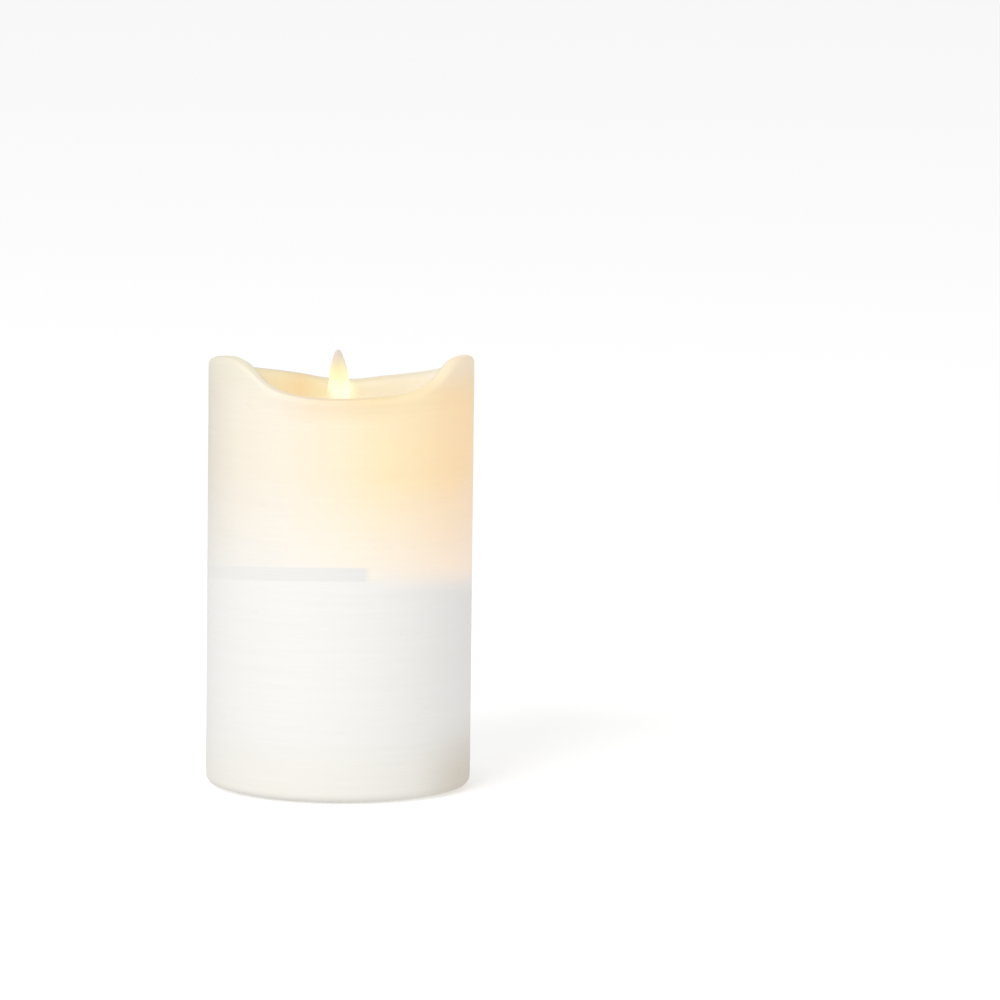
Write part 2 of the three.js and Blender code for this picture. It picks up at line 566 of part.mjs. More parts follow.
place("battery_sleeve", batterySleeve(), "core");
const cellA = place("cell_a", cell(), "cell");
cellA.position.set(-CELL_X, 0, CELL_A_BOTTOM);
const cellB = place("cell_b", cell(), "cell");
cellB.rotation.x = Math.PI;
cellB.position.set(CELL_X, 0, CELL_B_BOTTOM + CELL_LENGTH);
place("contact_positive", topContact(-CELL_X, true), "nickel");
place("contact_negative", topContact(CELL_X, false), "nickel");
const topSpring = place("top_spring", contactSpring(56.4, 54.2), "nickel");
topSpring.position.x = CELL_X;

place("core_drum", coreDrum(), "core");

place("control_board", controlBoard(), "board");
place("control_chip", chip(-7, 30), "chip");
const crystal = roundedPlate(1.5, 1.5, 1.4, 0, 6.5, 5, BOARD_BACK + 1.7);
place("timing_crystal", crystal.translate([0, 0, 26]), "nickel");
place("storage_capacitor", bar(2.5, 14, 22, 8, BOARD_Y - 2.8, 16), "chip");
[[-9, 18], [-4, 18], [10, 36]].forEach(([x, z], i) => place(`resistor_${i + 1}`, resistor(x, z), "chip"));
place("slide_switch_can", switchCan(), "steel");
place("switch_lever", switchLever(), "knob");
place("switch_knob", switchKnob(), "knob");

place("module_cup", moduleCup(), "module");
place("module_cap", moduleCap(), "module");
[-EAR_X, EAR_X].forEach((x, i) => {
  const mesh = place(`module_screw_${i + 1}`, screw(1.9, 1.2, 0.9, 7.6), "steel");
  mesh.rotation.x = Math.PI;
  mesh.position.set(x, 0, 69.3);
});
place("module_board", moduleBoard(), "board");
place("coil_bobbin", coilBobbin(), "chip");
place("coil_winding", coilWinding(), "copper");
place("coil_core", bar(1.25, COIL_BOTTOM + 0.1, COIL_TOP + 0.2, 0, 0, SMALL), "steel");

// The LED and its two leads are built in the plane of azimuth 0, then turned round the axis together.
const ledGroup = new THREE.Group();
ledGroup.rotation.z = turn(LED_AZIMUTH);
candle.add(ledGroup);
const led = place("led", ledBody(), "led", ledGroup);
led.rotation.y = turn(-LED_LEAN);
led.position.set(LED_BASE[0], 0, LED_BASE[1]);
["led_anode", "led_cathode"].forEach((name, i) => {
  const y = (i ? -0.5 : 0.5) * LEAD_PITCH;
  const route = smoothCurve([[8.3, y, MODULE_BOARD_Z + MODULE_BOARD + 0.2], [8.4, y, 76], [7.7, y, 83.8]]);
  place(name, swept(route, 0.3, 5, 4), "steel", ledGroup);
});

place("pivot_wire", barAlongY(PIVOT_WIRE_R, 18, PIVOT_Z), "steel");
place("flame", flame(), "flame");
place("flame_magnet", bar(MAGNET_R, MAGNET_BOTTOM, MAGNET_TOP, 0, 0, 16), "magnet");

// Leads from the top contacts to the control board, and from the board up into the flame module.
const BATTERY_LEAD = [
  [CELL_X, 5.9, 59.4], [8.3, 9.2, 59.2], [9.4, 12.2, 56.6],
  [10.4, 14.8, 50], [10.8, 16.8, 43], [10.8, 18, 40],
];
[["positive", -1, "redWire"], ["negative", 1, "blackWire"]].forEach(([pole, side, tint]) => {
  const route = smoothCurve(BATTERY_LEAD.map(([x, y, z]) => [side * x, y, z]));
  place(`wire_battery_${pole}`, swept(route, 0.5, 12, 6), tint);
});
const moduleWires = [
  ["wire_led_positive", "redWire"], ["wire_led_negative", "blackWire"],
  ["wire_coil_start", "whiteWire"], ["wire_coil_end", "whiteWire"],
];
moduleWires.forEach(([name, tint], i) => {
  const x = 1.3 * (i - 1.5);
  const route = [[x, 18, 38], [x, 16.8, 43], [x, 13.6, 52], [x, 10.8, 58], [x, 8.6, 61.6], [x, 7.2, 64.9]];
  place(name, swept(smoothCurve(route), 0.5, 10, 6), tint);
});

export default candle;
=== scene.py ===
"""Flameless wax pillar candle: the looks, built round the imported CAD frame.

Metres, +Z up, -Y is the front. Outlines are in millimetres until they become meshes.
"""

import json
import math

import bmesh
import bpy
from mathutils import Matrix, Vector, noise


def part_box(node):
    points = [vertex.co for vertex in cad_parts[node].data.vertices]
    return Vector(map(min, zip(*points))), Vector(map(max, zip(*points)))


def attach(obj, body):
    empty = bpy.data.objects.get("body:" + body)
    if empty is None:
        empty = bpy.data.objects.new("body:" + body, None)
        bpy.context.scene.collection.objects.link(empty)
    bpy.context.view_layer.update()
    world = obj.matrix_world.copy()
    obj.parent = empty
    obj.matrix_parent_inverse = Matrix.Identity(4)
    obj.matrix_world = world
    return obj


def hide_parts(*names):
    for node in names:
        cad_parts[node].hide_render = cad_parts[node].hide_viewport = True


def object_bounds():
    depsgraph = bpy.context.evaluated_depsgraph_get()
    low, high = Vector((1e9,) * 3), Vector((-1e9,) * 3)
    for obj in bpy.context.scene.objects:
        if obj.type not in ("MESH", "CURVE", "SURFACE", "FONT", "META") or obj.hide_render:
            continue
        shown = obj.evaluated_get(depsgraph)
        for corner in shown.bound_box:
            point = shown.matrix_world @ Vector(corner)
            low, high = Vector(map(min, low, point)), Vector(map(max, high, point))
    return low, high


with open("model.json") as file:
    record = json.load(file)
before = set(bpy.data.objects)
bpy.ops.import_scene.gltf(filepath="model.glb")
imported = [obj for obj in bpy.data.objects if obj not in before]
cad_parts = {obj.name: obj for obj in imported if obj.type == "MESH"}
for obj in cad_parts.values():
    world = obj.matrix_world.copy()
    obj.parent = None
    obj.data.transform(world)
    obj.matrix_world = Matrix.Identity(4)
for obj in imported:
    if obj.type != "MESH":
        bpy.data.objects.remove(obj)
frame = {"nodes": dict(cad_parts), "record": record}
cad_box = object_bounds()

MM = 0.001
WAX_R = round(cad_box[1].x / MM, 2)  # outer radius of the wax
RECORD = frame["record"]
BODY_OF = {node: body for body, nodes in RECORD["behaviour"]["bodies"].items() for node in nodes}

# ------------------------------------------------------------------ camera
CAMERA_PLACE = Vector((0, -1.93, 0.336))
CAMERA_LENS = 244.2
CAMERA_AIM = Vector((0.0458, 0, 0.0825))  # right of the candle, which puts it left of the centre and low
CAMERA_ROLL = math.radians(0.68)


def make_camera():
    data = bpy.data.cameras.new("camera")
    data.lens = CAMERA_LENS
    camera = bpy.data.objects.new("camera", data)
    bpy.context.scene.collection.objects.link(camera)
    camera.location = CAMERA_PLACE
    look = (CAMERA_AIM - CAMERA_PLACE).to_track_quat("-Z", "Y")
    camera.rotation_mode = "QUATERNION"
    camera.rotation_quaternion = look @ Matrix.Rotation(CAMERA_ROLL, 3, "Z").to_quaternion()
    bpy.context.scene.camera = camera


# ------------------------------------------------------------------ material nodes
class Surface:
    """A procedural material on the Principled shader, written as a chain of small calls."""

    def __init__(self, name, color=(0.8, 0.8, 0.8), roughness=0.5, **sockets):
        self.material = bpy.data.materials.new(name)
        self.material.use_nodes = True
        self.tree = self.material.node_tree
        self.shader = self.tree.nodes["Principled BSDF"]
        self.set("Base Color", color)
        self.set("Roughness", roughness)
        for socket, value in sockets.items():
            self.set(socket.replace("_", " "), value)
        self.position = self.node("ShaderNodeTexCoord").outputs["Object"]

    def put(self, target, value):
        """Gives an input a number, a colour or another node's output."""
        if isinstance(value, bpy.types.NodeSocket):
            self.tree.links.new(value, target)
        elif isinstance(value, tuple) and len(value) == 3 and target.type == "RGBA":
            target.default_value = (*value, 1)
        else:
            target.default_value = value

    def set(self, socket, value):
        self.put(self.shader.inputs[socket], value)

    def node(self, kind, inputs=None, **properties):
        made = self.tree.nodes.new(kind)
        for key, value in properties.items():
            setattr(made, key, value)
        for key, value in (inputs or {}).items():
            self.put(made.inputs[key], value)
        return made

    def scaled(self, x, y, z):
        """The position times a number for each axis."""
        return self.node("ShaderNodeMapping", {"Vector": self.position, "Scale": (x, y, z)}).outputs[0]

    def noise(self, scale, detail=3, rough=0.5, vector=None):
        inputs = {"Vector": vector or self.position, "Scale": scale, "Detail": detail}
        return self.node("ShaderNodeTexNoise", {**inputs, "Roughness": rough}).outputs["Fac"]

    def axis(self, letter):
        return self.node("ShaderNodeSeparateXYZ", {"Vector": self.position}).outputs[letter]

    def off_middle(self):
        """Distance to the left or right of the candle's axis."""
        return self.node("ShaderNodeMath", {0: self.axis("X")}, operation="ABSOLUTE").outputs[0]

    def vector_math(self, operation, *vectors):
        return self.node("ShaderNodeVectorMath", dict(enumerate(vectors)), operation=operation).outputs

    def radius(self):
        """Distance from the candle's axis."""
        flat = self.vector_math("MULTIPLY", self.position, (1, 1, 0))[0]
        return self.vector_math("LENGTH", flat)["Value"]

    def ramp(self, value, low, high, to_low=0.0, to_high=1.0, smooth=True):
        """value from low..high to to_low..to_high, held at the ends."""
        inputs = {"Value": value, 1: low, 2: high, 3: to_low, 4: to_high}
        kind = "SMOOTHSTEP" if smooth else "LINEAR"
        return self.node("ShaderNodeMapRange", inputs, interpolation_type=kind).outputs[0]

    def times(self, first, *others):
        for other in others:
            first = self.node("ShaderNodeMath", {0: first, 1: other}, operation="MULTIPLY").outputs[0]
        return first

    def blend(self, factor, first, second):
        """Mixes two numbers."""
        rest = self.plus(self.times(factor, -1.0), 1.0)
        return self.plus(self.times(first, rest), self.times(second, factor))

    def plus(self, first, second):
        return self.node("ShaderNodeMath", {0: first, 1: second}, operation="ADD").outputs[0]

    def mix(self, factor, first, second, blend="MIX"):
        """Mixes two colours, each a colour or another node's output."""
        made = self.node("ShaderNodeMix", data_type="RGBA", blend_type=blend)
        for index, value in ((0, factor), (6, first), (7, second)):
            self.put(made.inputs[index], value)
        return made.outputs[2]

    def gradient(self, value, low, high, stops):
        """A colour for value, from (value, colour) stops between low and high."""
        made = self.node("ShaderNodeValToRGB", {"Fac": self.ramp(value, low, high, smooth=False)})
        elements = made.color_ramp.elements
        while len(elements) < len(stops):
            elements.new(0.5)
        for element, (at, _) in zip(elements, stops):
            element.position = (at - low) / (high - low)
        for element, (_, color) in zip(elements, stops):
            element.color = (*color, 1)
        return made.outputs["Color"]

    def bump(self, *layers):
        """Adds bumps, each a (height, strength, distance in metres)."""
        normal = None
        for height, strength, distance in layers:
            inputs = {"Height": height, "Strength": strength, "Distance": distance}
            if normal:
                inputs["Normal"] = normal
            normal = self.node("ShaderNodeBump", inputs).outputs["Normal"]
        self.set("Normal", normal)


# ------------------------------------------------------------------ floor and light
FLOOR_HALF = 6
FLOOR_GAP = 0.1 * MM
FLOOR_GLOW = 0.22  # lifts the floor to the near white of the background
WORLD_LIGHT = 0.74
SOFTBOX = 1.6  # diameter of both lights
SOFTBOXES = (("key", (-1.1, -1.8, 1.5), 22), ("fill", (1.05, -1.95, 0.7), 3))
LIGHT_AIM = Vector((0, 0, 0.06))


def make_floor():
    """A plain floor. It shows only from above, and lets light through, so that the underside can be seen."""
    z = cad_box[0].z - FLOOR_GAP
    corners = [(x, y, z) for x, y in ((-1, -1), (1, -1), (1, 1), (-1, 1))]
    mesh = bpy.data.meshes.new("floor")
    mesh.from_pydata([(FLOOR_HALF * x, FLOOR_HALF * y, z) for x, y, z in corners], [], [(0, 1, 2, 3)])
    surface = Surface("pale_floor", (0.95, 0.95, 0.95), 0.9)
    surface.set("Emission Color", (1, 1, 1))
    surface.set("Emission Strength", FLOOR_GLOW)
    surface.set("Specular IOR Level", 0)
    path = surface.node("ShaderNodeLightPath").outputs["Is Camera Ray"]
    back = surface.node("ShaderNodeNewGeometry").outputs["Backfacing"]
    shown = surface.node("ShaderNodeMath", {0: path, 1: back}, operation="SUBTRACT", use_clamp=True)
    clear = surface.node("ShaderNodeBsdfTransparent").outputs[0]
    both = surface.node("ShaderNodeMixShader", {0: shown.outputs[0], 1: clear, 2: surface.shader.outputs[0]})
    surface.tree.links.new(both.outputs[0], surface.tree.nodes["Material Output"].inputs["Surface"])
    floor = bpy.data.objects.new("floor", mesh)
    bpy.context.scene.collection.objects.link(floor)
    mesh.materials.append(surface.material)


def add_softbox(name, place, power):
    data = bpy.data.lights.new(name, "AREA")
    data.shape = "DISK"
    data.size = SOFTBOX
    data.energy = power
    light = bpy.data.objects.new(name, data)
    bpy.context.scene.collection.objects.link(light)
    light.location = place
    light.rotation_mode = "QUATERNION"
    light.rotation_quaternion = (LIGHT_AIM - light.location).to_track_quat("-Z", "Y")


def make_light():
    world = bpy.data.worlds.new("studio")
    world.use_nodes = True
    background = world.node_tree.nodes["Background"]
    background.inputs["Color"].default_value = (1, 1, 1, 1)
    background.inputs["Strength"].default_value = WORLD_LIGHT
    bpy.context.scene.world = world
    bpy.context.scene.view_settings.view_transform = "Standard"
    for name, place, power in SOFTBOXES:
        add_softbox(name, place, power)


# ------------------------------------------------------------------ mesh building
ON_AXIS = 1e-6
SHARP = math.radians(38)


def smooth_outline(points, spacing):
    """A dense line through (radius, height) points, by a Catmull-Rom curve."""
    points = [Vector(p) for p in points]
    dense = []
    for i in range(len(points) - 1):
        a, b = points[max(i - 1, 0)], points[i]
        c, d = points[i + 1], points[min(i + 2, len(points) - 1)]
        length = (c - b).length
        steps = max(1, round(length / spacing))
        start = (c - a) * (length / (length + (b - a).length))
        end = (d - b) * (length / (length + (d - c).length))
        for k in range(steps):
            t = k / steps
            t2, t3 = t * t, t * t * t
            middle = b * (2 * t3 - 3 * t2 + 1) + start * (t3 - 2 * t2 + t)
            dense.append(middle + c * (3 * t2 - 2 * t3) + end * (t3 - t2))
    return [*dense, points[-1]]


def rounded_outline(points, radius):
    """An open outline with its corners cut to short arcs of about this radius."""
    points = [Vector(p) for p in points]
    made = [points[0]]
    for before, corner, after in zip(points, points[1:], points[2:]):
        reach = min(radius, (before - corner).length / 2, (after - corner).length / 2)
        start = corner + (before - corner).normalized() * reach
        end = corner + (after - corner).normalized() * reach
        for t in (0, 0.33, 0.67, 1):
            made.append(start * (1 - t) ** 2 + corner * 2 * t * (1 - t) + end * t * t)
    return [*made, points[-1]]


def turned(outline, columns=64, place=None, closed=True):
    """A bmesh turned round +Z from (radius, height) points. An end on the axis closes to a point.

    place, if given, says where the point of a radius, height and azimuth goes.
    """
    shape = bmesh.new()
    rings = []
    for radius, height in outline:
        if radius < ON_AXIS:
            rings.append([shape.verts.new((0, 0, height * MM))] * columns)
            continue
        ring = []
        for column in range(columns):
            azimuth = 2 * math.pi * column / columns
            r, z = place(radius, height, azimuth) if place else (radius, height)
            ring.append(shape.verts.new((r * MM * math.cos(azimuth), r * MM * math.sin(azimuth), z * MM)))
        rings.append(ring)
    pairs = list(zip(rings, rings[1:]))
    if closed:
        pairs.append((rings[-1], rings[0]))
    for lower, upper in pairs:
        for column in range(columns):
            after = (column + 1) % columns
            corners = []
            for vertex in (lower[column], lower[after], upper[after], upper[column]):
                if vertex not in corners:
                    corners.append(vertex)
            if len(corners) > 2:
                shape.faces.new(corners)
    bmesh.ops.recalc_face_normals(shape, faces=shape.faces)
    return shape


def along_y(shape, z):
    """Turns a shape that was made round +Z to lie along Y at this height."""
    turn = Matrix.Rotation(math.pi / 2, 3, "X")
    bmesh.ops.rotate(shape, verts=shape.verts, cent=(0, 0, 0), matrix=turn)
    bmesh.ops.translate(shape, verts=shape.verts, vec=(0, 0, z * MM))
    return shape


def box_shape(low, high, bevel=0.0):
    """A block from its lowest to its highest corner in millimetres, its edges rounded."""
    shape = bmesh.new()
    size = Vector(high) - Vector(low)
    middle = (Vector(high) + Vector(low)) / 2
    bmesh.ops.create_cube(shape, size=1)
    bmesh.ops.scale(shape, verts=shape.verts, vec=size * MM)
    bmesh.ops.translate(shape, verts=shape.verts, vec=middle * MM)
    if bevel:
        edges = shape.edges[:]
        bmesh.ops.bevel(shape, geom=edges, offset=bevel * MM, segments=3, profile=0.5, affect="EDGES")
    return shape


def merged(*shapes):
    """One bmesh from several closed ones."""
    whole = bmesh.new()
    for shape in shapes:
        mesh = bpy.data.meshes.new("joined")
        shape.to_mesh(mesh)
        shape.free()
        whole.from_mesh(mesh)
        bpy.data.meshes.remove(mesh)
    return whole


def add_piece(name, shape, node, *materials):
    """Makes the piece that stands for a CAD node, with its body and slot, smooth but for its sharp edges."""
    for face in shape.faces:
        face.smooth = True
    for edge in shape.edges:
        edge.smooth = edge.calc_face_angle(0) < SHARP
    mesh = bpy.data.meshes.new(name)
    shape.to_mesh(mesh)
    shape.free()
    for material in materials:
        mesh.materials.append(material)
    piece = bpy.data.objects.new(name, mesh)
    bpy.context.scene.collection.objects.link(piece)
    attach(piece, BODY_OF[node])
    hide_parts(node)
    return piece


def carve(piece, cutter):
    """Cuts a bmesh out of a piece."""
    mesh = bpy.data.meshes.new("cutter")
    cutter.to_mesh(mesh)
    cutter.free()
    tool = bpy.data.objects.new("cutter", mesh)
    bpy.context.scene.collection.objects.link(tool)
    step = piece.modifiers.new("carve", "BOOLEAN")
    step.operation = "DIFFERENCE"
    step.solver = "EXACT"
    step.object = tool
    bpy.context.view_layer.update()
    cut = piece.evaluated_get(bpy.context.evaluated_depsgraph_get())
    result = bpy.data.meshes.new_from_object(cut)
    piece.modifiers.remove(step)
    piece.data = result
    bpy.data.objects.remove(tool)
    bpy.data.meshes.remove(mesh)


def dress(material, *names, bevel=0.0, rounded=0):
    """Gives CAD nodes their material, and rounds their edges or smooths them with modifiers."""
    for name in names:
        node = frame["nodes"][name]
        node.data.materials.clear()
        node.data.materials.append(material)
        if "custom_normal" in node.data.attributes:
            node.data.attributes.remove(node.data.attributes["custom_normal"])
        for polygon in node.data.polygons:
            polygon.use_smooth = True
        weld = node.modifiers.new("weld", "WELD")
        weld.merge_threshold = 1e-6
        if bevel:
            flat = node.modifiers.new("flat", "DECIMATE")
            flat.decimate_type = "DISSOLVE"
            flat.angle_limit = math.radians(1)
            edge = node.modifiers.new("edge", "BEVEL")
            edge.width = bevel * MM
            edge.segments = 2
            edge.limit_method = "ANGLE"
            edge.angle_limit = SHARP
            edge.harden_normals = True
        if rounded:
            smooth = node.modifiers.new("smooth", "SUBSURF")
            smooth.levels = smooth.render_levels = rounded


# ------------------------------------------------------------------ wax
# Where the light shows in the wax: from the top of the opaque core up, strongest towards the LED.
LED_AZIMUTH = math.radians(-25)
LED_DIRECTION = (math.cos(LED_AZIMUTH), math.sin(LED_AZIMUTH), 0)
SHADE_LOW = 0.0641  # the core's flange, which shows as a faint band where its shade falls on the front
SHADE_HIGH = 0.0676
SHADE_SLOPE = 0.126  # how far the shade drops from the front to the sides, over the distance
BAND_END = 0.6  # how far a place faces the LED where the band stops
FULL_LIGHT = 0.094  # height from which the light is at its strongest
# Where a colour or a glow fades in or out: from and to, in metres.
FOOT_SHADE_HEIGHTS = (0.0, 0.03)
FOOT_CORNER_SHADE_HEIGHTS = (0.0, 0.024)
FOOT_CORNER_SHADE_SIDE = (0.02, 0.0378)  # distances to the right of the axis
LOBE_HEIGHTS = (0.1135, 0.124)
FRONT_RIM_HEIGHTS = (0.107, 0.1145)
FRONT_RIM_SIDES = (0.006, 0.024)
LIP_HEIGHTS = (0.108, 0.112)
RIM_HEIGHTS = (0.108, 0.12)
RECESS_RADII = (0.0346, 0.0356)
RECESS_HEIGHTS = (0.1, 0.102)
POOL_RADII = (0.008, 0.03)
POOL_HEIGHTS = (0.105, 0.107)
LED_SPOT_RADII = (0.0008, 0.0048)
# Colours of the wax outside the recess: its own white, painted shade towards its foot and at the foot's
# right, the painted shadow of the core's flange, the rim's lobes and the brush streaks.
# painted shade: the wax darker and creamier at its foot
UNLIT_FOOT_SHADE = (0.925, 0.895, 0.83)
UNLIT = (0.94, 0.932, 0.91)
# painted shade in the foot's right corner, where the floor's shade falls
FOOT_CORNER_SHADE = (0.72, 0.64, 0.52)
# painted shadow of the core's flange, a grey band
FLANGE_SHADOW = (0.865, 0.862, 0.848)
LOBES = (0.9, 0.855, 0.7)
STREAK = (0.62, 0.57, 0.48)
# Painted shade, which multiplies the colour that is there: near the middle below the rim, and on the lip's
# upward faces.
FRONT_RIM_SHADE = (0.955, 0.9, 0.84)
LIP_TOP_SHADE = (0.94, 0.93, 0.88)
# Colour of the lit wax, by how far it faces the LED, from -1 to 1.
LIT_COLORS = (
    (-1, (0.81, 0.755, 0.65)), (-0.4, (0.955, 0.884, 0.753)), (-0.04, (0.955, 0.885, 0.75)),
    (0.27, (0.955, 0.86, 0.68)), (0.42, (0.955, 0.86, 0.645)), (0.67, (0.955, 0.845, 0.565)),
    (0.88, (0.955, 0.815, 0.525)), (1, (0.955, 0.78, 0.5)),
)
# Light that comes out of the wax, likewise.
GLOW_COLORS = (
    (-1, (0, 0, 0)), (-0.4, (0.012, 0.004, 0.001)), (-0.04, (0.02, 0.008, 0.002)),
    (0.27, (0.07, 0.03, 0.008)), (0.42, (0.078, 0.036, 0.009)), (0.67, (0.1, 0.045, 0.011)),
    (0.88, (0.15, 0.066, 0.015)), (1, (0.19, 0.084, 0.019)),
)
# Colour of the wall round the sunken pool, by distance to the right of the axis, with the warm light of the
# flame and the LED painted in.
RECESS_SIDE = 0.033
RECESS_LIT_COLORS = (
    (-RECESS_SIDE, (0.93, 0.86, 0.67)), (-0.027, (0.93, 0.84, 0.62)), (-0.018, (0.92, 0.81, 0.57)),
    (-0.012, (0.89, 0.72, 0.46)), (-0.006, (0.88, 0.78, 0.53)), (0.006, (0.84, 0.77, 0.6)),
    (0.018, (0.85, 0.79, 0.66)), (RECESS_SIDE, (0.9, 0.88, 0.78)),
)
# painted warm light of the flame on the pool
POOL_LIGHT = (1.0, 0.8, 0.45)
WALL_GLOW = (0.04, 0.028, 0.011)
POOL_GLOW = (0.3, 0.2, 0.08)
LED_SPOT = (0.001, 0.0335, 0.1095)  # the middle of the LED's spot, on the wall behind the flame
SPOT_GLOW = (0.3, 0.32, 0.2)


def light_edge(wax, shade_z, side):
    """0 under the edge of the light and 1 over it: a sharp edge, soft on the LED's side."""
    sharp, soft = (wax.ramp(shade_z, SHADE_LOW - half, SHADE_LOW + half) for half in (0.001, 0.005))
    return wax.blend(wax.ramp(side, 0.5, 0.75), sharp, soft)


def shade_band(wax, shade_z, side):
    """1 on the painted shadow that the core's flange throws on the wax, a grey band."""
    above_low = wax.ramp(shade_z, SHADE_LOW - 0.0006, SHADE_LOW + 0.0002)
    below_high = wax.ramp(shade_z, SHADE_HIGH - 0.0002, SHADE_HIGH + 0.0006, 1.0, 0.0)
    return wax.times(above_low, below_high, wax.ramp(side, BAND_END - 0.03, BAND_END + 0.03, 1.0, 0.0))


def wall_color(wax, z, side, edge, mottle):
    """The outside of the wax: white, with painted shade that makes it darker and creamier towards the foot
    and at the foot's right, painted shade near the middle below the rim, and warm where the light shows.
    """
    # painted shade, darker and creamier towards the foot
    unlit = wax.mix(wax.ramp(z, *FOOT_SHADE_HEIGHTS), UNLIT_FOOT_SHADE, UNLIT)
    # painted shade, a darker patch low on the right of the foot
    foot = wax.times(wax.ramp(z, *FOOT_CORNER_SHADE_HEIGHTS, 0.85, 0.0), wax.ramp(wax.axis("X"), *FOOT_CORNER_SHADE_SIDE))
    unlit = wax.mix(foot, unlit, FOOT_CORNER_SHADE)
    rise = wax.ramp(z, SHADE_LOW - 0.005, FULL_LIGHT, 0.1, 1.0, smooth=False)
    warm = wax.times(edge, rise, wax.ramp(mottle, 0.25, 0.75, 0.93, 1.06))
    color = wax.mix(warm, unlit, wax.gradient(side, -1, 1, LIT_COLORS))
    lobes = wax.times(wax.ramp(z, *LOBE_HEIGHTS, 0.0, 0.8), wax.ramp(side, -1.0, -0.75, 0.4, 1.0))
    color = wax.mix(lobes, color, LOBES)
    # painted shade near the middle, below the rim
    front_rim_shade = wax.ramp(wax.off_middle(), *FRONT_RIM_SIDES, 1.0, 0.0)
    front_rim_shade = wax.times(wax.ramp(z, *FRONT_RIM_HEIGHTS), front_rim_shade)
    return wax.mix(front_rim_shade, color, FRONT_RIM_SHADE, "MULTIPLY")


def recess_looks(wax, z, radius):
    """The colour and the glow of the recess, with the flame's warm light painted on its wall and, strongest,
    on its pool round the flame.
    """
    # painted light of the flame, strongest near it
    pool_light = wax.ramp(radius, *POOL_RADII, 1.0, 0.0)
    wall = wax.gradient(wax.axis("X"), -RECESS_SIDE, RECESS_SIDE, RECESS_LIT_COLORS)
    color = wax.mix(wax.times(pool_light, wax.ramp(z, *POOL_HEIGHTS, 0.8, 0.0)), wall, POOL_LIGHT)
    from_spot = wax.vector_math("DISTANCE", wax.position, LED_SPOT)["Value"]
    spot = wax.ramp(from_spot, *LED_SPOT_RADII, 0.8, 0.0)
    return color, wax.mix(spot, wax.mix(pool_light, WALL_GLOW, POOL_GLOW), SPOT_GLOW)


def wax_material():
    """Ivory wax that is lit from inside over the core and unlit round it, with brush streaks all over."""
    wax = Surface("ivory_wax", roughness=0.5)
    z = wax.axis("Z")
    radius = wax.radius()
    facing = wax.vector_math("DOT_PRODUCT", wax.position, LED_DIRECTION)["Value"]
    side = wax.node("ShaderNodeMath", {0: facing, 1: radius}, operation="DIVIDE").outputs[0]

    # Streaks from the brush that was drawn round the shell, and the mottle of cast wax.
    fine = wax.noise(1, 4, 0.6, wax.scaled(45, 45, 2400))
    broad = wax.noise(1, 3, 0.5, wax.scaled(22, 22, 420))
    mottle = wax.noise(70, 4, 0.55)

    # The core's shade is set by this height, which makes its edge drop from the front to the sides.
    behind = wax.ramp(wax.axis("Y"), -WAX_R * MM, 0, 0.0, SHADE_SLOPE * WAX_R * MM, smooth=False)
    shade_z = wax.plus(z, behind)
    edge = light_edge(wax, shade_z, side)
    band = shade_band(wax, shade_z, side)
    # The flange's painted shadow, fainter on the side away from the LED.
    shown = wax.times(wax.ramp(side, -0.8, 0.0, 0.3, 0.85), wax.ramp(fine, 0.3, 0.7, 0.85, 1.0))
    color = wax.mix(wax.times(band, shown), wall_color(wax, z, side, edge, mottle), FLANGE_SHADOW)

    recess_color, recess_glow = recess_looks(wax, z, radius)
    inside = wax.times(wax.ramp(radius, *RECESS_RADII, 1.0, 0.0), wax.ramp(z, *RECESS_HEIGHTS))
    color = wax.mix(inside, color, recess_color)
    # painted shade that darkens the lip's upward faces
    normal = wax.node("ShaderNodeNewGeometry").outputs["Normal"]
    upward = wax.node("ShaderNodeSeparateXYZ", {0: normal}).outputs["Z"]
    lip = wax.times(wax.ramp(upward, 0.15, 0.8), wax.ramp(z, *LIP_HEIGHTS))
    color = wax.mix(lip, color, LIP_TOP_SHADE, "MULTIPLY")
    streak = wax.ramp(wax.plus(fine, broad), 0.75, 1.25, 0.0, 0.045, smooth=False)
    wax.set("Base Color", wax.mix(streak, color, STREAK))

    wax.set("Emission Color", wax.mix(inside, wax.gradient(side, -1, 1, GLOW_COLORS), recess_glow))
    rim_fade = wax.ramp(z, *RIM_HEIGHTS, 1.0, 0.75)
    unshaded = wax.plus(1.0, wax.times(band, -1.0))
    uneven = wax.ramp(mottle, 0.25, 0.75, 0.94, 1.06)
    wax.set("Emission Strength", wax.times(edge, unshaded, rim_fade, uneven))
    wax.set("Roughness", wax.ramp(fine, 0.3, 0.7, 0.42, 0.6))
    wax.bump((broad, 0.2, 0.0004), (fine, 0.22, 0.00012), (mottle, 0.12, 0.0003))
    return wax.material


# Rim height round the candle: (azimuth in degrees from +X, height), as the CAD shell has it.
RIM = (
    (0, 124.1), (20, 121.2), (38, 118), (56, 115.8), (70, 114.4), (84, 113.2), (98, 113.6),
    (112, 115.3), (128, 116.8), (144, 118.4), (164, 121), (184, 123.3), (200, 124.9), (212, 125.5),
    (220, 124.6), (227, 122.3), (234, 119.3), (242, 117.2), (254, 116), (268, 115.6), (284, 116),
    (298, 116.6), (308, 117.9), (317, 120.2), (324, 123.2), (331, 125.1), (340, 125.5), (350, 125.1),
)
RIM_TOP = round(cad_box[1].z / MM, 2)
RIM_ROUND = 2.6
POOL_EDGE = 106
POOL_FLOOR = RIM_TOP - 23  # under the pool's surface everywhere
BRUSHED_R = WAX_R - 3.2  # the brushed outer wall lies outside this radius
WAX_COLUMNS = 240
FOOT = ((34, 0.5), (35.9, 0.5), (37.1, 0.9), (37.85, 1.7), (WAX_R, 3))
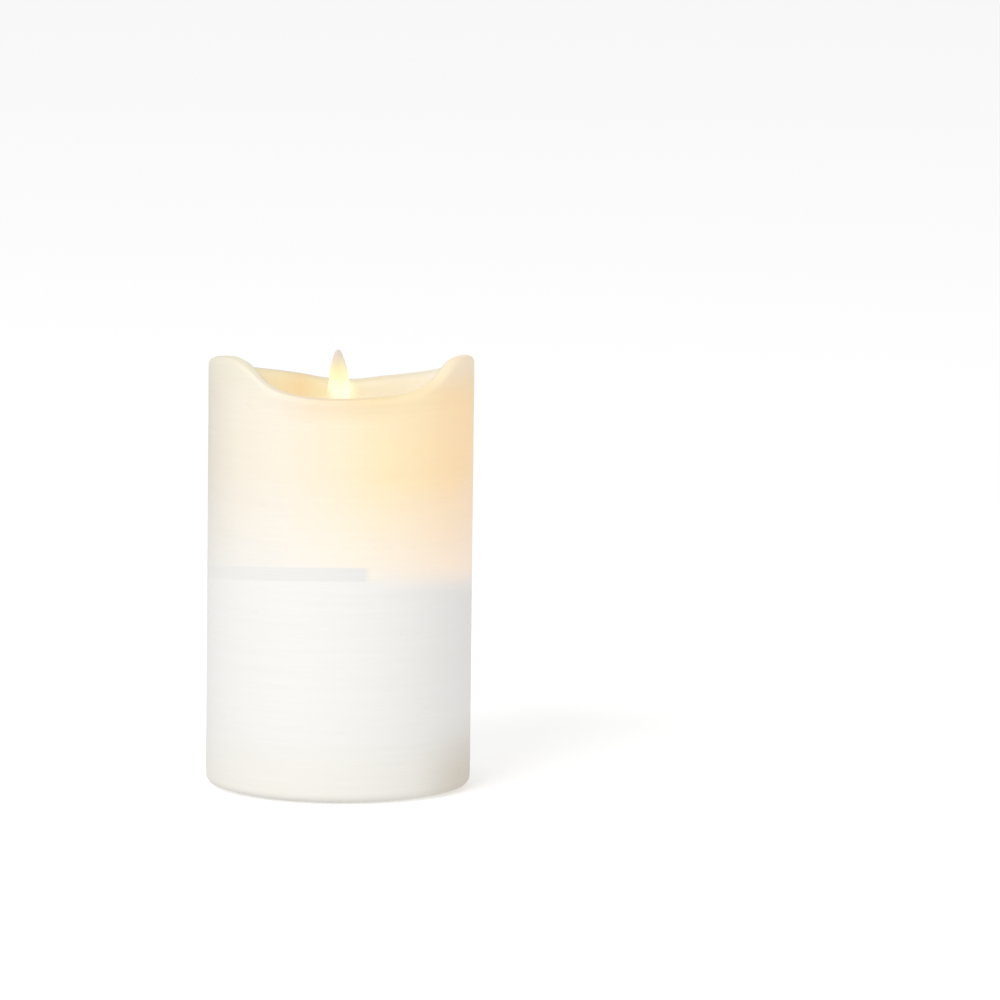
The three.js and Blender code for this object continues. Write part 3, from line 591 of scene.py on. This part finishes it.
LIP = (
    (37.95, 124.3), (37.5, 125.1), (36.6, 125.45), (35.5, 125.45), (34.7, 124.95), (34.2, 124.1),
    (33.95, 122.9),
)
RECESS = (
    (33.75, 114), (33.4, 110), (32.6, 107.6), (30.6, 105.8), (26, 105.1), (20, 104.6), (13, 104.2),
    (9.2, 104),
)
FLAME_HOLE = ((8.35, 103.8), (8.05, 103.2), (8, 102), (8, 98.6))
BORE = ((20, 98.6), (31.4, 98.6), (33.1, 97), (33.1, 60), (33.1, 30), (33.1, 1.4))


def rim_height(degrees):
    """The smooth closed curve through the RIM points."""
    degrees %= 360
    count = len(RIM)
    index = max(i for i in range(count) if RIM[i][0] <= degrees)
    nearby = range(index - 1, index + 3)
    before, start, end, after = ((RIM[i % count][0] + 360 * (i // count), RIM[i % count][1]) for i in nearby)
    step = end[0] - start[0]
    t = (degrees - start[0]) / step
    slope_start = (end[1] - before[1]) / (end[0] - before[0]) * step
    slope_end = (after[1] - start[1]) / (after[0] - start[0]) * step
    t2, t3 = t * t, t * t * t
    level = start[1] * (2 * t3 - 3 * t2 + 1) + end[1] * (3 * t2 - 2 * t3)
    return level + slope_start * (t3 - 2 * t2 + t) + slope_end * (t3 - t2)


def wax_point(radius, height, azimuth):
    """Where a point of the turned wax goes: down to the rim's height there, and uneven as cast wax is."""
    x, y = math.cos(azimuth), math.sin(azimuth)
    drop = RIM_TOP - rim_height(math.degrees(azimuth))
    share = min(1, max(0, (height - POOL_EDGE) / (RIM_TOP - RIM_ROUND - POOL_EDGE)))
    lip = min(1, max(0, (height - RIM_TOP + 4) / 3))
    height -= share * drop
    if radius > BRUSHED_R and height > 1:
        # the brushed wall: shallow rings and dents, never proud of the full radius
        ring = noise.noise(Vector((x * 1.3, y * 1.3, height * 0.75)))
        slow = noise.noise(Vector((x * 0.9, y * 0.9, height * 0.06 + 40)))
        nick = max(0, noise.noise(Vector((x * 14, y * 14, height * 1.1 + 9))) - 0.45)
        radius -= 0.04 * (1 + ring) + 0.05 * (1 + slow) + 0.5 * nick
    elif height > POOL_EDGE:
        # the wall above the pool keeps the unevenness of melted wax
        radius -= 0.22 * (1 + noise.noise(Vector((x * 3.1, y * 3.1, height * 0.05 + 7))))
    elif height > POOL_FLOOR:
        swell = noise.noise(Vector((x * radius * 0.09, y * radius * 0.09, 3)))
        height += 0.3 * swell * min(1, max(0, (radius - 8) / 6))
    height -= 0.12 * lip * (1 + noise.noise(Vector((x * 5, y * 5, radius * 0.3 + 21))))
    return radius, height


def make_wax():
    """The wax: its foot and outer wall, its lip, the recess with the hole for the flame, and its bore."""
    wall = ((WAX_R, z) for z in (20, 40, 60, 80, 100, 112, RIM_TOP - RIM_ROUND))
    outer = smooth_outline((*FOOT, *wall), 0.7)
    top = smooth_outline((outer[-1], *LIP, *RECESS, *FLAME_HOLE), 0.7)
    inner = smooth_outline((FLAME_HOLE[-1], *BORE, FOOT[0]), 4)
    outline = [*outer[:-1], *top[:-1], *inner[:-1]]
    add_piece("wax_pillar", turned(outline, WAX_COLUMNS, wax_point), "wax_shell", wax_material())


# ------------------------------------------------------------------ flame
# Half the flame's width by height, as the CAD flame has it.
FLAME_OUTLINE = (
    (96.5, 1.6), (98.5, 2.2), (102, 2.6), (105, 3.3), (107.6, 3.9), (110, 4.05), (112.4, 3.8),
    (114.8, 3.3), (117.2, 2.8), (119, 2.55), (120.8, 2.2), (122.6, 1.7), (124, 1.2), (124.9, 0.8),
    (125.3, 0.45),
)
FLAME_ROOT = 96.5
FLAME_TIP = RIM_TOP
FLAME_LEAN = -1
FLAME_FLATNESS = 0.4
PIVOT_Z = 96
PIVOT_HOLE_R = 0.6
BOSS_R = 2.3
BOSS_HALF = 1.3
STEM_X = 1.2
STEM_Y = 0.9
STEM_LOW = 81
STEM_HIGH = 98
WIRE_CLEARANCE = 0.8  # how far the two halves of the stem keep from the wire's middle
CUP = ((0, 80.8), (2.8, 80.8), (2.8, 77.7), (3.4, 77.7), (3.4, 81.8), (0, 81.8))
# Light of the flame by height in metres, dim and pinkish at the tip, yellow below it and pale at the belly.
FLAME_LOW = 0.096
FLAME_HIGH = 0.1255
FLAME_GLOW = (
    (FLAME_LOW, (0.4, 0.3, 0.12)), (0.106, (0.55, 0.48, 0.3)), (0.1135, (0.56, 0.57, 0.5)),
    (0.1155, (0.55, 0.57, 0.42)), (0.1175, (0.52, 0.52, 0.28)), (0.12, (0.45, 0.42, 0.2)),
    (0.1225, (0.28, 0.27, 0.23)), (FLAME_HIGH, (0.1, 0.14, 0.22)),
)
FLAME_EDGE = (0.46, 0.38, 0.2)
FLAME_EDGE_SIDES = (0.0015, 0.0042)
FLAME_BELLY_HEIGHTS = (0.112, 0.117)


def flame_material():
    """Frosted plastic that is lit from below, palest along its middle."""
    flame = Surface("lit_flame", roughness=0.32)
    z = flame.axis("Z")
    cloud = flame.noise(260, 3, 0.5, flame.scaled(1, 1, 0.3))
    belly = flame.ramp(z, *FLAME_BELLY_HEIGHTS, 1.0, 0.0)
    edge = flame.times(flame.ramp(flame.off_middle(), *FLAME_EDGE_SIDES), belly)
    glow = flame.gradient(z, FLAME_LOW, FLAME_HIGH, FLAME_GLOW)
    flame.set("Emission Color", flame.mix(edge, glow, FLAME_EDGE))
    flame.set("Emission Strength", flame.ramp(cloud, 0.3, 0.7, 0.93, 1.05))
    cloudy = flame.mix(flame.ramp(cloud, 0.3, 0.7), (0.56, 0.47, 0.33), (0.6, 0.52, 0.38))
    flame.set("Base Color", cloudy)
    flame.bump((cloud, 0.2, 0.0003))
    return flame.material


def make_flame():
    """The flat flame, leaning towards its tip, on its stem with the wire's boss and the magnet's cup."""
    outline = smooth_outline(((1.2, FLAME_ROOT), *((half, z) for z, half in FLAME_OUTLINE)), 0.5)
    blade = turned([(0, FLAME_ROOT), *outline, (0, FLAME_TIP)], 48, closed=False)
    for vertex in blade.verts:
        rise = (vertex.co.z / MM - FLAME_ROOT) / (FLAME_TIP - FLAME_ROOT)
        vertex.co.y *= FLAME_FLATNESS
        vertex.co.x += FLAME_LEAN * rise * MM
    ring = (
        (PIVOT_HOLE_R, 0), (PIVOT_HOLE_R, -BOSS_HALF), (BOSS_R, -BOSS_HALF),
        (BOSS_R, BOSS_HALF), (PIVOT_HOLE_R, BOSS_HALF), (PIVOT_HOLE_R, 0),
    )
    boss = along_y(turned(rounded_outline(ring, 0.3), 40), PIVOT_Z)
    lower_stem = box_shape((-STEM_X, -STEM_Y, STEM_LOW), (STEM_X, STEM_Y, PIVOT_Z - WIRE_CLEARANCE), 0.3)
    upper_stem = box_shape((-STEM_X, -STEM_Y, PIVOT_Z + WIRE_CLEARANCE), (STEM_X, STEM_Y, STEM_HIGH), 0.3)
    cup = turned(rounded_outline(CUP, 0.25), 40, closed=False)
    whole = merged(blade, boss, lower_stem, upper_stem, cup)
    add_piece("flame_tongue", whole, "flame", flame_material())


# ------------------------------------------------------------------ plastics, metals, board
def plastic(name, color, grain=1400, shade=0.94, roughness=(0.42, 0.56)):
    """Moulded plastic: a spark-eroded grain, slow shade changes where it flowed, and scuffed gloss."""
    made = Surface(name)
    flow = made.noise(38, 3, 0.6)
    texture = made.noise(grain, 2, 0.6)
    darker = tuple(shade * c for c in color)
    made.set("Base Color", made.mix(made.ramp(flow, 0.3, 0.7), darker, color))
    made.set("Roughness", made.ramp(made.plus(flow, texture), 0.7, 1.3, *roughness))
    made.bump((texture, 0.3, 0.00005), (flow, 0.1, 0.0003))
    return made.material


def metal(name, color, roughness, drawn=(300, 300, 60), dull=0.8):
    """Plated metal: drawing marks and dull patches."""
    made = Surface(name, Metallic=1.0)
    marks = made.noise(6, 4, 0.6, made.scaled(*drawn))
    patches = made.noise(420, 3, 0.5)
    made.set("Base Color", made.mix(made.ramp(patches, 0.35, 0.75), color, tuple(dull * c for c in color)))
    made.set("Roughness", made.ramp(made.plus(marks, patches), 0.7, 1.3, roughness, roughness + 0.2))
    made.bump((marks, 0.25, 0.00003))
    return made.material


def board_material():
    """Green solder mask over copper tracks, with tinned pads."""
    board = Surface("green_board")
    flat = board.scaled(1, 0.01, 1)
    brick = {"Vector": flat, "Scale": 230, "Mortar Size": 0.09, "Mortar Smooth": 0.3}
    tracks = board.node("ShaderNodeTexBrick", brick, offset=0.37, squash=1.6, squash_frequency=3)
    tracks = tracks.outputs["Fac"]
    dots = board.node("ShaderNodeTexVoronoi", {"Vector": flat, "Scale": 300, "Randomness": 0.55})
    pads = board.ramp(dots.outputs["Distance"], 0.14, 0.18, 1.0, 0.0)
    weave = board.noise(900, 2, 0.5)
    mask = board.mix(board.ramp(weave, 0.3, 0.7), (0.012, 0.085, 0.03), (0.018, 0.12, 0.045))
    color = board.mix(board.times(tracks, 0.55), mask, (0.05, 0.25, 0.09))
    board.set("Base Color", board.mix(pads, color, (0.62, 0.6, 0.56)))
    board.set("Metallic", pads)
    mask_gloss = board.mix(tracks, (0.4, 0.4, 0.4), (0.3, 0.3, 0.3))
    board.set("Roughness", board.mix(pads, mask_gloss, (0.25, 0.25, 0.25)))
    board.bump((tracks, 0.4, 0.00004), (weave, 0.15, 0.00004))
    return board.material


def copper_material():
    """Fine enamelled wire, wound close."""
    copper = Surface("enamelled_copper", Metallic=0.95)
    patches = copper.noise(500, 3, 0.5)
    strands = copper.noise(1, 2, 0.5, copper.scaled(300, 300, 5000))
    enamel = copper.mix(copper.ramp(patches, 0.3, 0.7), (0.62, 0.22, 0.08), (0.78, 0.34, 0.14))
    copper.set("Base Color", enamel)
    copper.set("Roughness", copper.ramp(strands, 0.3, 0.7, 0.22, 0.38))
    copper.bump((strands, 0.3, 0.00004))
    return copper.material


def jacket_material(name, plus_end, minus_end):
    """A cell's plain jacket: dark, with a pale line and a gold band at its positive end, and scratches."""
    jacket = Surface(name, Metallic=0.6)
    along = jacket.ramp(jacket.axis("Z"), minus_end, plus_end, smooth=False)
    scratches = jacket.noise(1, 3, 0.6, jacket.scaled(900, 900, 60))
    dark = jacket.mix(jacket.ramp(scratches, 0.3, 0.7), (0.03, 0.1, 0.17), (0.04, 0.13, 0.21))
    gold = jacket.mix(jacket.ramp(scratches, 0.3, 0.7), (0.62, 0.4, 0.14), (0.7, 0.47, 0.18))
    split = jacket.ramp(along, 0.742, 0.746)
    line = jacket.times(jacket.ramp(along, 0.715, 0.719), jacket.ramp(along, 0.728, 0.732, 1.0, 0.0))
    color = jacket.mix(line, jacket.mix(split, dark, gold), (0.75, 0.75, 0.73))
    jacket.set("Base Color", color)
    jacket.set("Roughness", jacket.ramp(scratches, 0.3, 0.7, 0.28, 0.42))
    jacket.bump((scratches, 0.2, 0.00003))
    return jacket.material


def led_material():
    """Clear epoxy with slight flow lines, lit warm from within."""
    led = Surface("led_epoxy", (1.0, 0.93, 0.74), 0.08, Transmission_Weight=0.55, IOR=1.5)
    haze = led.noise(700, 3, 0.5)
    led.set("Emission Color", (1.0, 0.72, 0.36))
    led.set("Emission Strength", led.ramp(haze, 0.3, 0.7, 1.2, 1.8))
    led.bump((haze, 0.15, 0.00004))
    return led.material


# ------------------------------------------------------------------ round parts
# These are the CAD's turned parts again, with many more sides, finer edges and their wound or wrapped detail.
MODULE_CAP = (
    (12, 78.3), (12, 93), (7.4, 98.2), (7.4, 104.8), (6, 104.8), (6, 98.2), (10.8, 93), (10.8, 78.3),
    (12, 78.3),
)
COIL_LOW = 67.7
COIL_HIGH = 73.9
COIL_INNER_R = 2.9
COIL_OUTER_R = 5.8
COIL_TURNS = 22
COIL_GROOVE = 0.12
SCREW_HEAD_R = 2.4
SCREW_HEAD = 1.4
SCREW_R = 1.2
SCREW_ROOT_R = SCREW_R * 0.78
SCREW_LENGTH = 13
SCREW_THREADS = 13
CELL_OUTLINE = (
    (0, 0.15), (4.6, 0.15), (5.2, 0.35), (5.6, 0.35), (5.8, 0.05), (6.5, 0), (7, 0.3), (7.1, 0.9),
    (7.1, 48.6), (7, 49.2), (6.5, 49.5), (5.9, 49.45), (5.5, 49.1), (3, 49.1), (2.75, 49.4),
    (2.75, 50.1), (2.5, 50.45), (2.1, 50.5), (0, 50.5),
)
JACKET_R = 5.75  # the jacket is rolled over the ends as far in as this


def add_module_cap(module_abs):
    """The flame module's cap, with the hole for the pivot wire drilled across it."""
    cap = turned(rounded_outline(MODULE_CAP, 0.3), 80)
    piece = add_piece("module_cap_fine", cap, "module_cap", module_abs)
    drill = turned(((0, -20), (PIVOT_HOLE_R, -20), (PIVOT_HOLE_R, 20), (0, 20)), 24, closed=False)
    carve(piece, along_y(drill, PIVOT_Z))


def add_winding(copper):
    """The coil, with a groove between its turns."""
    pitch = (COIL_HIGH - COIL_LOW) / COIL_TURNS
    wound = [
        (COIL_OUTER_R - COIL_GROOVE * (k % 2), COIL_LOW + pitch * k / 2) for k in range(2 * COIL_TURNS + 1)
    ]
    shape = turned([(COIL_INNER_R, COIL_LOW), *wound, (COIL_INNER_R, COIL_HIGH)], 48)
    add_piece("coil_winding_fine", shape, "coil_winding", copper)


def add_screw(node, steel):
    """A pan head with a cross recess, head down, over a shank with a rolled thread."""
    low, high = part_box(node)
    middle = (low + high) / 2
    place = Vector((middle.x, middle.y, low.z))
    head = [
        (0, 0), (SCREW_HEAD_R * 0.55, 0.02), (SCREW_HEAD_R * 0.82, 0.14), (SCREW_HEAD_R * 0.97, 0.42),
        (SCREW_HEAD_R, 0.7), (SCREW_HEAD_R, SCREW_HEAD),
    ]
    pitch = (SCREW_LENGTH - SCREW_HEAD - 1.2) / SCREW_THREADS
    shank = [(SCREW_R, SCREW_HEAD)]
    for k in range(SCREW_THREADS):
        z = SCREW_HEAD + k * pitch
        shank.append((SCREW_ROOT_R, z + 0.3 * pitch))
        shank.append((SCREW_R, z + 0.62 * pitch))
        shank.append((SCREW_ROOT_R, z + 0.95 * pitch))
    tip = [(SCREW_R * 0.4, SCREW_LENGTH), (0, SCREW_LENGTH)]
    shape = turned([*head, *shank, *tip], 40, closed=False)
    bmesh.ops.translate(shape, verts=shape.verts, vec=place)
    piece = add_piece(f"{node}_fine", shape, node, steel)
    arm, half, depth = SCREW_HEAD_R * 0.58, SCREW_HEAD_R * 0.13, SCREW_HEAD * 0.55
    for x, y in ((arm, half), (half, arm)):
        cutter = box_shape((-x, -y, -1), (x, y, depth))
        bmesh.ops.translate(cutter, verts=cutter.verts, vec=place)
        carve(piece, cutter)


def add_cell(name, side, steel):
    """An AA cell, positive end up if side is 1 and down if it is -1, with its jacket over the ends' edges."""
    low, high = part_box(name)
    middle = (low + high) / 2
    minus_z, plus_z = (low.z, high.z) if side > 0 else (high.z, low.z)
    jacket = jacket_material(f"{name}_jacket", plus_z, minus_z)
    shape = turned(rounded_outline(CELL_OUTLINE, 0.12), 64, closed=False)
    for vertex in shape.verts:
        vertex.co.z = minus_z + side * vertex.co.z
        vertex.co.x += middle.x
        vertex.co.y += middle.y
    if side < 0:
        bmesh.ops.reverse_faces(shape, faces=shape.faces)
    for face in shape.faces:
        spot = face.calc_center_median()
        from_axis = math.hypot(spot.x - middle.x, spot.y - middle.y)
        face.material_index = 0 if from_axis > JACKET_R * MM else 1
    add_piece(f"{name}_fine", shape, name, jacket, steel)


def make_inside():
    """Gives every CAD node its material, and makes the round parts again."""
    ivory = plastic("ivory_abs", (0.84, 0.79, 0.68))
    white = plastic("white_abs", (0.86, 0.85, 0.81), 1100)
    module_abs = plastic("module_abs", (0.86, 0.77, 0.6), 1700, 0.9)
    black = plastic("black_plastic", (0.022, 0.022, 0.024), 1900, 0.7, (0.35, 0.5))
    epoxy = plastic("black_epoxy", (0.016, 0.016, 0.018), 2600, 0.75, (0.45, 0.65))
    steel = metal("zinc_steel", (0.56, 0.57, 0.58), 0.24)
    nickel = metal("nickel_plate", (0.66, 0.62, 0.55), 0.16, (60, 60, 400))
    magnet = metal("magnet_plate", (0.5, 0.51, 0.54), 0.12, (200, 200, 200), 0.65)
    board = board_material()
    copper = copper_material()

    dress(ivory, "base_plate", "battery_door", bevel=0.22)
    dress(white, "battery_sleeve", "core_drum", bevel=0.25)
    dress(module_abs, "module_cup", bevel=0.2)
    dress(black, "switch_knob", "switch_lever", bevel=0.12)
    resistors = [f"resistor_{number}" for number in (1, 2, 3)]
    dress(epoxy, "control_chip", "storage_capacitor", *resistors, bevel=0.06)
    dress(epoxy, "coil_bobbin", bevel=0.12)
    dress(steel, "slide_switch_can", "module_screw_1", "module_screw_2", "coil_core", bevel=0.1)
    dress(steel, "pivot_wire", bevel=0.05)
    dress(steel, "led_anode", "led_cathode", rounded=2)
    dress(nickel, "door_link_plate", "contact_positive", "contact_negative", "timing_crystal", bevel=0.06)
    dress(nickel, "door_spring", "top_spring", rounded=2)
    dress(magnet, "flame_magnet", bevel=0.15)
    dress(board, "control_board", "module_board", bevel=0.05)
    dress(led_material(), "led", bevel=0.1)
    for sleeve, color, nodes in (
        ("red_sleeving", (0.42, 0.02, 0.015), ("wire_battery_positive", "wire_led_positive")),
        ("black_sleeving", (0.02, 0.02, 0.022), ("wire_battery_negative", "wire_led_negative")),
        ("white_sleeving", (0.7, 0.69, 0.66), ("wire_coil_start", "wire_coil_end")),
    ):
        dress(plastic(sleeve, color, 1500, 0.85, (0.3, 0.45)), *nodes, rounded=2)
    add_module_cap(module_abs)
    add_winding(copper)
    for number in (1, 2, 3):
        add_screw(f"base_screw_{number}", steel)
    add_cell("cell_a", 1, steel)
    add_cell("cell_b", -1, steel)


make_camera()
make_floor()
make_light()
make_wax()
make_flame()
make_inside()
